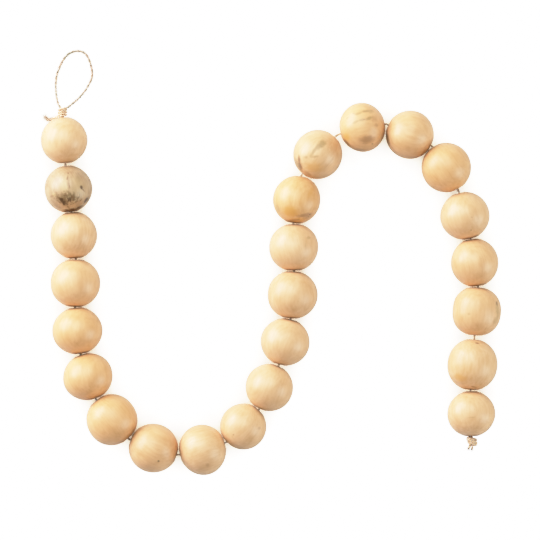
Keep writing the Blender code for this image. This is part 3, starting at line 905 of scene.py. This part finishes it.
# %% List the marks
MARK_COLUMNS = ("bead", "right", "up", "long", "wide", "turn", "ragged", "share", "tone")
MARK_ROWS = (
    (2, -2.5, 2, 5, 10, 4, 0.5, 0.45, "khaki"),
    (2, 10, 4, 6, 9, 0, 0.5, 0.55, "rust"),
    (2, 8.5, 8, 3.2, 5, 10, 0.6, 0.45, "drab"),
    (2, 1, -12.8, 14, 4.5, 0, 0.6, 0.55, "toast"),
    (2, 9, -1, 9, 15, 0, 0.4, 0.4, "khaki"),
    (2, 10.5, -11.5, 7, 4, 28, 0.6, 0.45, "brown"),
    (2, -1.5, -6.6, 13, 4.2, 0, 1, 0.65, "drab"),
    (2, -3, -6.4, 12, 4.4, 0, 2.6, 0.65, "moss"),
    (2, 0, -10, 9, 4, 0, 2.4, 0.7, "umber"),
    (2, -11.5, -5, 2.4, 2.2, 20, 1, 0.6, "khaki"),
    (2, -13, -6, 3.8, 1.6, 20, 1.2, 0.5, "umber"),
    (2, -8.4, -7.4, 2, 1.2, -30, 0.9, 0.75, "umber"),
    (2, -1.9, -4.8, 1.9, 1.5, 0, 0.9, 0.7, "umber"),
    (2, -4.9, -8.9, 2.4, 1.7, -40, 0.8, 0.9, "ink"),
    (2, -3.2, -11.2, 5, 2.1, -42, 0.7, 0.9, "ink"),
    (2, 0.4, -15.2, 3.2, 0.8, -55, 0.7, 0.6, "umber"),
    (2, 1.5, -8.6, 2.7, 2.1, 30, 0.8, 0.85, "ink"),
    (2, 4.8, -8.2, 3.4, 2.4, -20, 1.1, 0.65, "umber"),
    (2, 8.6, -6.9, 1.8, 0.7, 10, 0.9, 0.5, "umber"),
    (2, 15.2, -9.2, 4.8, 1.9, 50, 0.6, 0.9, "ink"),
    # Bead 2's lower rim: partly a spalt line, partly painted shade where bead 3 nearly touches.
    (2, -0.6, -18, 3.2, 1.5, -3, 0.3, 1, "ink"),
    (2, 4, -17.3, 4.6, 1.7, 8, 0.4, 1, "ink"),
    (2, 9.4, -15.4, 4.6, 1.6, 28, 0.5, 0.95, "ink"),
    (2, 11.3, 0.9, 1.7, 2.1, 15, 0.6, 0.9, "ink"),
    (2, 12.9, -1.2, 2.4, 0.9, -52, 0.6, 0.75, "umber"),
    (2, 0.4, 12.7, 0.9, 1.1, 0, 0.4, 0.7, "umber"),
    (2, -0.4, 8.3, 0.7, 1.6, -12, 0.7, 0.7, "umber"),
    (2, 1.6, 2.2, 0.7, 3.6, 10, 0.9, 0.6, "umber"),
    (2, 0.5, 5.5, 1.4, 9, 6, 1, 0.4, "umber"),
    (2, 0, -7, 14, 5.5, 0, 0.5, 0.6, "vein"),
    (8, 4.5, -10.3, 1.2, 1.1, 0, 0.4, 0.8, "umber"),
    (9, 4.2, -12.4, 2.2, 2.2, 0, 0.4, 0.35, "brown"),
    (10, -8, -6.5, 0.9, 0.8, 0, 0.4, 0.5, "umber"),
    (10, 13.1, -1.2, 1.8, 1.6, 20, 0.4, 0.5, "brown"),
    (14, 12, 7.8, 2.4, 1.8, 0, 0.5, 0.45, "olive"),
    (14, 9.8, 1, 0.5, 4, 4, 0.3, 0.3, "olive"),
    (15, -5.4, -10.4, 9.5, 7, 0, 0.4, 0.85, "amber"),
    # Painted shade at bead 15's lower rim, where it nearly meets bead 14.
    (15, -1, -16.8, 8, 2.4, 4, 0.4, 0.7, "amber"),
    (15, 6, -13, 8, 1.9, 8, 0.5, 0.75, "brown"),
    (15, 9.4, -13.4, 5.4, 3.6, 20, 0.7, 0.5, "brown"),
    (15, 10.7, -12.4, 0.9, 0.8, 0, 0.4, 0.7, "umber"),
    (15, 9.5, -14, 0.8, 0.6, 0, 0.4, 0.5, "umber"),
    # Painted shade along bead 15's lower rim, next to bead 14.
    (15, -2.2, -16.9, 5.8, 1, 4, 0.5, 0.75, "brown"),
    (15, 11.5, 6, 2.4, 6.5, -25, 0.8, 0.4, "amber"),
    (15, -15.6, -7.5, 2.4, 6, 18, 0.6, 0.5, "olive"),
    (16, 3.6, 8.5, 5.2, 4.2, 30, 0.5, 0.85, "olive"),
    (16, 0.4, 6, 4.4, 3.2, 45, 0.5, 0.8, "olive"),
    (16, -3, 3, 4.2, 1.9, 55, 0.5, 0.8, "olive"),
    (16, -5, -0.8, 3.2, 2, 62, 0.6, 0.55, "olive"),
    (16, -2.2, -2.2, 3.8, 1.3, 8, 0.5, 0.6, "olive"),
    (16, -9.7, -2.7, 1.8, 1.6, 0, 0.4, 0.5, "olive"),
    (16, -15.4, -4.4, 1.5, 4.6, 4, 0.5, 0.8, "umber"),
    (16, -14.4, -9.8, 2.2, 6.2, 14, 0.5, 0.9, "umber"),
    (16, -17.2, -7.8, 3.2, 7.5, 20, 0.5, 0.7, "moss"),
    (16, 13.6, 5.6, 5.8, 10, -8, 0.6, 0.6, "toast"),
    (16, 9.4, 9, 3.6, 7, -10, 0.8, 0.35, "toast"),
    (16, -3.4, -11.2, 10.5, 6.2, -6, 0.5, 0.55, "amber"),
    (16, -8.6, -15.6, 5, 2, -35, 0.6, 0.6, "brown"),
    (17, 3, 12.8, 6, 1.3, 4, 0.4, 0.75, "olive"),
    (17, -3.6, 10.8, 4.4, 1.3, 16, 0.5, 0.6, "olive"),
    (17, 6.9, 12.8, 3.4, 2, -8, 0.8, 0.45, "olive"),
    (17, -5.6, 4, 3.8, 1.5, 30, 0.4, 0.65, "olive"),
    (17, -0.9, 5.6, 4.2, 1.5, 12, 0.4, 0.7, "olive"),
    (17, 5.6, 7, 4.6, 1.8, 20, 0.5, 0.7, "olive"),
    (17, 9.6, 6.6, 3.6, 3.4, -20, 0.8, 0.4, "brown"),
    (17, 11.6, 1.6, 2.4, 2.1, 0, 0.6, 0.45, "brown"),
    (17, 1.2, 5.8, 0.5, 0.5, 0, 0.3, 0.6, "umber"),
    (17, 3.6, -10.6, 8.6, 4.2, 5, 0.4, 0.75, "brown"),
    (17, 5.4, -8.8, 5.4, 1.8, -6, 0.5, 0.35, "brown"),
    (17, 8.3, -14, 1.2, 0.8, 20, 0.4, 0.5, "umber"),
    (17, -13.6, -8.8, 4.6, 5, 0, 0.4, 0.8, "amber"),
    # These two are painted shade along bead 17's lower rim, next to bead 16.
    (17, -13.4, -13, 6, 1.9, -46, 0.3, 0.85, "umber"),
    (17, -2, -18.8, 8, 1.6, -6, 0.3, 0.55, "brown"),
    (17, -12.3, 7.6, 1.6, 0.6, 35, 0.6, 0.5, "brown"),
    (17, -7.3, 11, 1.4, 0.7, 20, 0.5, 0.5, "brown"),
    # Painted shade down bead 18's left rim, next to bead 17.
    (18, -18.6, -4, 2.2, 9, 12, 0.3, 0.8, "umber"),
    (20, 4.7, -12, 0.9, 0.9, 0, 0.3, 0.5, "umber"),
    (20, 5.1, -1.3, 1.1, 0.7, 0, 0.3, 0.3, "umber"),
    (22, 16.4, 6.3, 1, 2.8, 10, 0.4, 0.85, "umber"),
    (22, 17.2, 1, 2.6, 9, 4, 0.6, 0.6, "olive"),
    (22, 15.4, -7.5, 3, 5, -30, 0.6, 0.5, "olive"),
    (22, -6.9, -2.1, 1.8, 1.5, 0, 0.4, 0.4, "olive"),
    (22, 11.2, -17, 1.8, 1.3, 30, 0.4, 0.8, "umber"),
    # These two are painted shade where bead 23's bore opens, at its top and bottom.
    (23, 3.6, 17.8, 2.4, 1, -10, 0.4, 0.8, "umber"),
    (23, 1, -18.3, 3.4, 1, -14, 0.4, 0.8, "brown"),
    (23, -10.9, -10.5, 8, 4.4, -12, 0.4, 0.6, "amber"),
    (24, 0, -2.6, 4.6, 0.8, 4, 0.7, 0.3, "olive"),
)
MARK_TONES = {
    "ink": (0.085, 0.042, 0.014),
    "vein": (0.085, 0.042, 0.014),
    "umber": (0.22, 0.125, 0.05),
    "moss": (0.28, 0.19, 0.08),
    "drab": (0.33, 0.24, 0.12),
    "khaki": (0.68, 0.53, 0.26),
    "olive": (0.38, 0.27, 0.105),
    "rust": (0.47, 0.30, 0.17),
    "brown": (0.44, 0.245, 0.11),
    "toast": (0.62, 0.33, 0.13),
    "amber": (0.72, 0.38, 0.09),
}
MARK_DEPTH = 9.0
MARK_GRAIN = 420.0
EDGE_RAGGEDNESS = 1.3
marks = [dict(zip(MARK_COLUMNS, row)) for row in MARK_ROWS]
print(len(marks), "marks on", len({mark["bead"] for mark in marks}), "beads")

# %% [markdown]
# ## Painted gap shade, as a node group
#
# Round the mouths of its bore each bead is painted darker, as shade in the
# crevice between it and its neighbour, and this painted shade has no clean
# edge. So the wood's streaks push the stored nearness to a mouth up or down
# before it fades into the shade's tone.

# %% Build the painted mouth shade group
# The painted shade round a bore reaches at most this share.
MOUTH_SHADE_SHARE = 0.92
MOUTH_STREAKS = 0.8

mouth_shade_group, n, given, out = new_group(
    "painted_mouth_shade",
    {"Colour": COLOUR, "Tone": COLOUR, "Mouth": VALUE, "Streaks": VALUE},
    {"Colour": COLOUR},
)
streaks = n.math("MULTIPLY", n.math("SUBTRACT", given["Streaks"], 0.5), given["Mouth"])
near = n.math("ADD", given["Mouth"], n.math("MULTIPLY", streaks, MOUTH_STREAKS))
darkened = n.mix(n.ramp(near, 0.0, 0.7, 0.0, MOUTH_SHADE_SHARE), given["Colour"], given["Tone"])
n.put(out["Colour"], darkened)
print("end grain group has", len(mouth_shade_group.nodes), "nodes")

# %% [markdown]
# ## One material for each bead
#
# The wood has a sanded, oiled finish: a broad satin sheen with a faint, sharper
# coat over it. The group mixes a light and a dark tone for each shade of wood.
# The bead's own marks are laid over the mixture, and the painted shade round
# the bore mouths over both. The rim greys where the bead turns away from the
# eye, a painted reflection of darker surroundings, and Layer Weight finds that
# rim.

# %% Finish the beads
SHADE_COLUMNS = ("slot", "light", "dark")
SHADE_ROWS = {
    "pale": ("blond_wood", (0.87, 0.575, 0.315), (0.70, 0.43, 0.20)),
    "blond": ("blond_wood", (0.86, 0.545, 0.28), (0.68, 0.40, 0.175)),
    "honey": ("blond_wood", (0.855, 0.52, 0.25), (0.66, 0.375, 0.145)),
    "golden": ("golden_wood", (0.86, 0.53, 0.25), (0.66, 0.36, 0.12)),
    "golden_pale": ("golden_wood", (0.87, 0.575, 0.32), (0.69, 0.42, 0.18)),
    "streaked": ("grey_wood", (0.855, 0.56, 0.30), (0.64, 0.40, 0.185)),
    "grey": ("grey_wood", (0.61, 0.46, 0.26), (0.39, 0.25, 0.125)),
}
PORE_TONE = (0.40, 0.24, 0.11)
# The colour of the painted shade in the crevice round each bore.
MOUTH_SHADE_TONE = (0.19, 0.068, 0.004)
# A painted reflection of darker surroundings, which greys each bead's rim.
RIM_REFLECTION_TONE = (0.43, 0.385, 0.30)
RIM_REFLECTION_SHARE = 0.4
RING_WIDTHS = (2.2, 3.8)
FIGURES = (0.7, 1.0)
SATIN = {"Roughness": 0.4, "Specular IOR Level": 0.61, "Coat Weight": 0.1, "Coat Roughness": 0.2}


def new_material(name):
    """A material that uses nodes, with its own shader found for the caller."""
    made = bpy.data.materials.new(name)
    made.use_nodes = True
    return made, Nodes(made.node_tree), made.node_tree.nodes["Principled BSDF"].inputs


def mark_place(mark, bead, centre):
    """The point of a bead's upper side over a mark's right and up, in the frame."""
    radius = bead["across"] / 2
    rise = math.sqrt(max(radius**2 - mark["right"] ** 2 - mark["up"] ** 2, 0.0))
    return in_frame([centre + [mark["right"], mark["up"], rise]])[0]


def finish_bead(number, bead):
    """Wood, then the bead's marks, its painted mouth shade and its painted grey rim reflection over it,
    under satin.
    """
    shade = dict(zip(SHADE_COLUMNS, SHADE_ROWS[bead["wood"]]))
    made, n, shader = new_material(bead["wood"] + "_" + bead["name"])
    values = {
        "Blank": n.attribute("blank"),
        "Light": shade["light"],
        "Dark": shade["dark"],
        "Pore": PORE_TONE,
        "Ring width": bead["rng"].uniform(*RING_WIDTHS),
        "Figure": bead["rng"].uniform(*FIGURES),
    }
    wood = n.group(wood_group, values)
    colour = wood["Colour"]
    for mark in (m for m in marks if m["bead"] == number):
        place = {
            "Place": mark_place(mark, bead, middles[number - 1]),
            "Turn": (0, 0, math.radians(mark["turn"])),
            "Size": np.array([mark["long"], mark["wide"], MARK_DEPTH]) * MM,
            "Ragged": EDGE_RAGGEDNESS * mark["ragged"],
            "Streaks": wood["Streaks"],
            "Grain": MARK_GRAIN,
        }
        kind = "Veins" if mark["tone"] == "vein" else "Patch"
        share = n.math("MULTIPLY", n.group(stain_and_shade_group, place)[kind], mark["share"])
        colour = n.mix(share, colour, MARK_TONES[mark["tone"]])
    # Painted shade round the bore mouths, strongest where the gap is tight.
    mouth = n.attribute("mouth", "Fac")
    ends = {"Colour": colour, "Tone": MOUTH_SHADE_TONE, "Mouth": mouth, "Streaks": wood["Streaks"]}
    colour = n.group(mouth_shade_group, ends)["Colour"]
    # The painted grey rim reflection, where the surface turns away from the eye.
    facing = n.add("ShaderNodeLayerWeight", {"Blend": 0.5}).outputs["Facing"]
    colour = n.mix(n.ramp(facing, 0.5, 0.95, 0.0, RIM_REFLECTION_SHARE), colour, RIM_REFLECTION_TONE)
    relief = {"Strength": 0.12, "Distance": 0.2 * MM, "Height": wood["Height"]}
    bump = n.add("ShaderNodeBump", relief).outputs[0]
    n.fill(shader, {"Base Color": colour, "Normal": bump, **SATIN})
    bead["piece"].data.materials.append(made)


for number, bead in enumerate(beads, start=1):
    finish_bead(number, bead)
print(len(beads), "beads finished")

# %% [markdown]
# ## Yarn, as a node group
#
# The twine is undyed fibre, cream with tan and grey hairs. The colour is read
# from the place along and around each ply, so its streaks run with the yarn.
# Longer lengths turn tan or grey, as one handful of fibre follows another, and
# dark flecks are bits of stalk.

# %% Build the yarn group
yarn_group, n, given, out = new_group(
    "two_ply_yarn",
    {"Yarn": VECTOR, "Cream": COLOUR, "Tan": COLOUR, "Grey": COLOUR, "Dark": COLOUR},
    {"Colour": COLOUR, "Height": VALUE},
)
streaks = n.drawn_noise(given["Yarn"], (2.6, 2.6, 0.35), 4.0, 0.65)
lengths = n.drawn_noise(given["Yarn"], (0.12, 0.12, 0.16))
flecks = n.ramp(n.drawn_noise(given["Yarn"], (1.4, 1.4, 0.9), 3.0), 0.60, 0.68)
colour = n.mix(n.ramp(streaks, 0.35, 0.72), given["Cream"], given["Tan"])
colour = n.mix(n.ramp(lengths, 0.36, 0.50, 0.5, 0.0), colour, given["Tan"])
colour = n.mix(n.ramp(lengths, 0.50, 0.62, 0.0, 0.8), colour, given["Grey"])
n.put(out["Colour"], n.mix(n.math("MULTIPLY", flecks, 0.6), colour, given["Dark"]))
n.put(out["Height"], streaks)
print("yarn group has", len(yarn_group.nodes), "nodes")

# %% [markdown]
# ## Twine
#
# Light passes into yarn and out again nearby, so subsurface scattering lies
# under a dull surface. The free loop looks greyest, the twine between the
# beads is warmer and the tight knots are the palest, so the group is used
# with three sets of tones. The warmth of the threaded twine's and the knots'
# tones is partly painted light, the glow that the wood throws back onto the
# twine near the beads. The loose fibres have a paler finish of their own, in
# which each fibre picks one tone.

# %% Finish the twine
TONE_COLUMNS = ("Cream", "Tan", "Grey", "Dark")
TONE_ROWS = {
    "natural_twine": ((0.58, 0.54, 0.40), (0.53, 0.38, 0.28), (0.28, 0.30, 0.22), (0.20, 0.155, 0.10)),
    # The threaded and knotted tones are warmer partly as painted light bounced off the wood.
    "threaded_twine": ((0.76, 0.63, 0.45), (0.62, 0.45, 0.30), (0.40, 0.37, 0.27), (0.25, 0.18, 0.10)),
    "knotted_twine": ((0.87, 0.67, 0.45), (0.77, 0.53, 0.34), (0.60, 0.46, 0.31), (0.46, 0.31, 0.17)),
}
PALE_FIBRE = (0.88, 0.73, 0.53)
DARK_FIBRE = (0.62, 0.46, 0.30)
SOFT_YARN = {
    "Specular IOR Level": 0.2,
    "Subsurface Weight": 0.9,
    "Subsurface Radius": (1.0, 0.9, 0.8),
    "Subsurface Scale": 0.9 * MM,
}


def twine_material(name):
    """The yarn group in this twine's own tones, dull and soft."""
    made, n, shader = new_material(name)
    tones = dict(zip(TONE_COLUMNS, TONE_ROWS[name]))
    yarn = n.group(yarn_group, {"Yarn": n.attribute("yarn"), **tones})
    relief = {"Strength": 0.5, "Distance": 0.1 * MM, "Height": yarn["Height"]}
    bump = n.add("ShaderNodeBump", relief).outputs[0]
    n.fill(shader, {"Base Color": yarn["Colour"], "Normal": bump, "Roughness": 0.9, **SOFT_YARN})
    return made


fibre_finish, n, shader = new_material("loose_fibres")
pick = n.drawn_noise(n.attribute("yarn"), (1, 1, 7.3), 1.0)
colour = n.mix(n.ramp(pick, 0.35, 0.65), PALE_FIBRE, DARK_FIBRE)
n.fill(shader, {"Base Color": colour, "Roughness": 0.7, **SOFT_YARN})
twine_pieces = {
    "natural_twine": (loop, loop_hairs),
    "threaded_twine": (thread,),
    "knotted_twine": (loop_knot, end_knot),
}
for name, pieces in twine_pieces.items():
    finish = twine_material(name)
    for piece in pieces:
        piece.data.materials.append(finish)
        piece.data.materials.append(fibre_finish)
print(len(twine_pieces), "finishes for twine, and one for loose fibres")

# %% [markdown]
# ## The table
#
# The white table is brighter than a camera can record, apart from the nooks
# under the beads. So it shows the camera one even tone, just white, which
# gives way to shaded paper where Ambient Occlusion finds a nook. Between them
# a thin warm edge is a painted glow, and the deepest nooks are painted golden
# brown, which paints shade tinted by light bounced off the wood. All other
# rays meet the paper alone, which lights the beads from below.

# %% Set the table
TABLE_SIDE = 30.0
TABLE_BELOW = 0.02 * MM
TABLE_TONE = 1.9
NOOK_WIDTH = 45 * MM
# Painted light: golden-brown paper for shade and bounced light in deep nooks, and a warm glow at their
# edge.
NOOK_BOUNCE_TONE = (0.62, 0.38, 0.13)
EDGE_GLOW_TONE = (1.0, 0.84, 0.58)
PAPER_TONES = ((0.88, 0.85, 0.75), (0.90, 0.87, 0.77))
WHITE = (1.0, 1.0, 1.0)
BLACK = (0.0, 0.0, 0.0)

corners = TABLE_SIDE / 2 * np.array([[-1, -1], [1, -1], [1, 1], [-1, 1]])
table = new_piece("table", np.c_[corners, np.full(4, -TABLE_BELOW)], np.array([[0, 1, 2, 3]]))
table_finish, n, shader = new_material("white_table")
grain = n.noise(n.add("ShaderNodeTexCoord").outputs["Object"], 40.0)
paper = n.mix(grain, *PAPER_TONES)
nook = n.add("ShaderNodeAmbientOcclusion", {"Distance": NOOK_WIDTH}, samples=8).outputs["AO"]
open_share = n.ramp(nook, 0.24, 0.48)
seen = n.add("ShaderNodeLightPath").outputs["Is Camera Ray"]
washed_out = n.math("MULTIPLY", seen, open_share)
# The deepest nooks are painted golden brown, as shade tinted by light bounced off the wood.
paper = n.mix(n.ramp(nook, 0.22, 0.40), NOOK_BOUNCE_TONE, paper)
n.put(shader["Base Color"], n.mix(washed_out, paper, BLACK))
# A painted warm glow where a nook begins.
n.put(shader["Emission Color"], n.mix(n.ramp(nook, 0.40, 0.56), EDGE_GLOW_TONE, WHITE))
n.put(shader["Emission Strength"], n.math("MULTIPLY", washed_out, TABLE_TONE))
n.fill(shader, {"Roughness": 0.9, "Specular IOR Level": 0.0})
table.data.materials.append(table_finish)
print("a table", TABLE_SIDE, "m wide")

# %% [markdown]
# ## The light
#
# Three soft lights stand round the table. A wide window low at the left gives
# each bead its pale side and broad sheen, one overhead carries that on over
# the top, and a panel at the right lifts the shaded side. None stands below,
# so the lower edge of each bead stays golden.

# %% Set the lights
LIGHT_COLUMNS = ("name", "azimuth", "elevation", "width", "height", "radiance", "colour")
LIGHT_ROWS = (
    ("window", 152, 22, 3.1, 2.1, 8.4, (1.0, 0.90, 0.98)),
    ("ceiling", 107, 63, 3.1, 2.6, 3.4, (1.0, 0.965, 0.98)),
    ("panel_right", 340, 21, 1.9, 2.6, 4.1, (0.98, 0.98, 1.0)),
)
LIGHT_DISTANCE = 3.2
ROOM_STRENGTH = 0.05

for row in LIGHT_ROWS:
    light = dict(zip(LIGHT_COLUMNS, row))
    azimuth, elevation = math.radians(light["azimuth"]), math.radians(light["elevation"])
    level = math.cos(elevation)
    way = np.array([math.cos(azimuth) * level, math.sin(azimuth) * level, math.sin(elevation)])
    lamp = bpy.data.lights.new(light["name"], "AREA")
    lamp.shape, lamp.size, lamp.size_y = "RECTANGLE", light["width"], light["height"]
    lamp.energy = light["radiance"] * math.pi * light["width"] * light["height"]
    lamp.color = light["colour"]
    made = bpy.data.objects.new(light["name"], lamp)
    made.location = way * LIGHT_DISTANCE
    made.rotation_euler = (math.pi / 2 - elevation, 0.0, azimuth + math.pi / 2)
    made.visible_camera = False
    bpy.context.scene.collection.objects.link(made)

world = bpy.data.worlds.new("bright_room")
bpy.context.scene.world = world
world.use_nodes = True
room = world.node_tree.nodes["Background"].inputs
Nodes(world.node_tree).fill(room, {"Color": WHITE, "Strength": ROOM_STRENGTH})
print(len(LIGHT_ROWS), "soft lights", LIGHT_DISTANCE, "m away")

# %% [markdown]
# ## The camera's response
#
# A camera doesn't record bright tones in proportion: past a certain tone it
# compresses them towards white, and so a sheen on warm wood turns cream. The
# curve below is straight up to SHOULDER, nears white as
# 1 - (1 - s) exp(-(x - s) / (1 - s)), and reaches it at the table's tone.
# Blender's curve ends at 1, so the white level scales all tones down first.

# %% Bend the camera's response
SHOULDER = 0.6
WHITE_POINT = 2.4
CURVE_TONES = (0.3, 0.6, 0.75, 0.9, 1.1, 1.4, 1.65)
view = bpy.context.scene.view_settings
view.view_transform = "Standard"
view.use_curve_mapping = True
response = view.curve_mapping
response.white_level = (WHITE_POINT,) * 3
bend = response.curves[3].points
for tone in CURVE_TONES:
    over = max(tone - SHOULDER, 0.0) / (1 - SHOULDER)
    bend.new(tone / WHITE_POINT, min(tone, SHOULDER) + (1 - SHOULDER) * (1 - math.exp(-over)))
bend.new(TABLE_TONE / WHITE_POINT, 1.0)
response.update()
print("the response has", len(bend), "points")
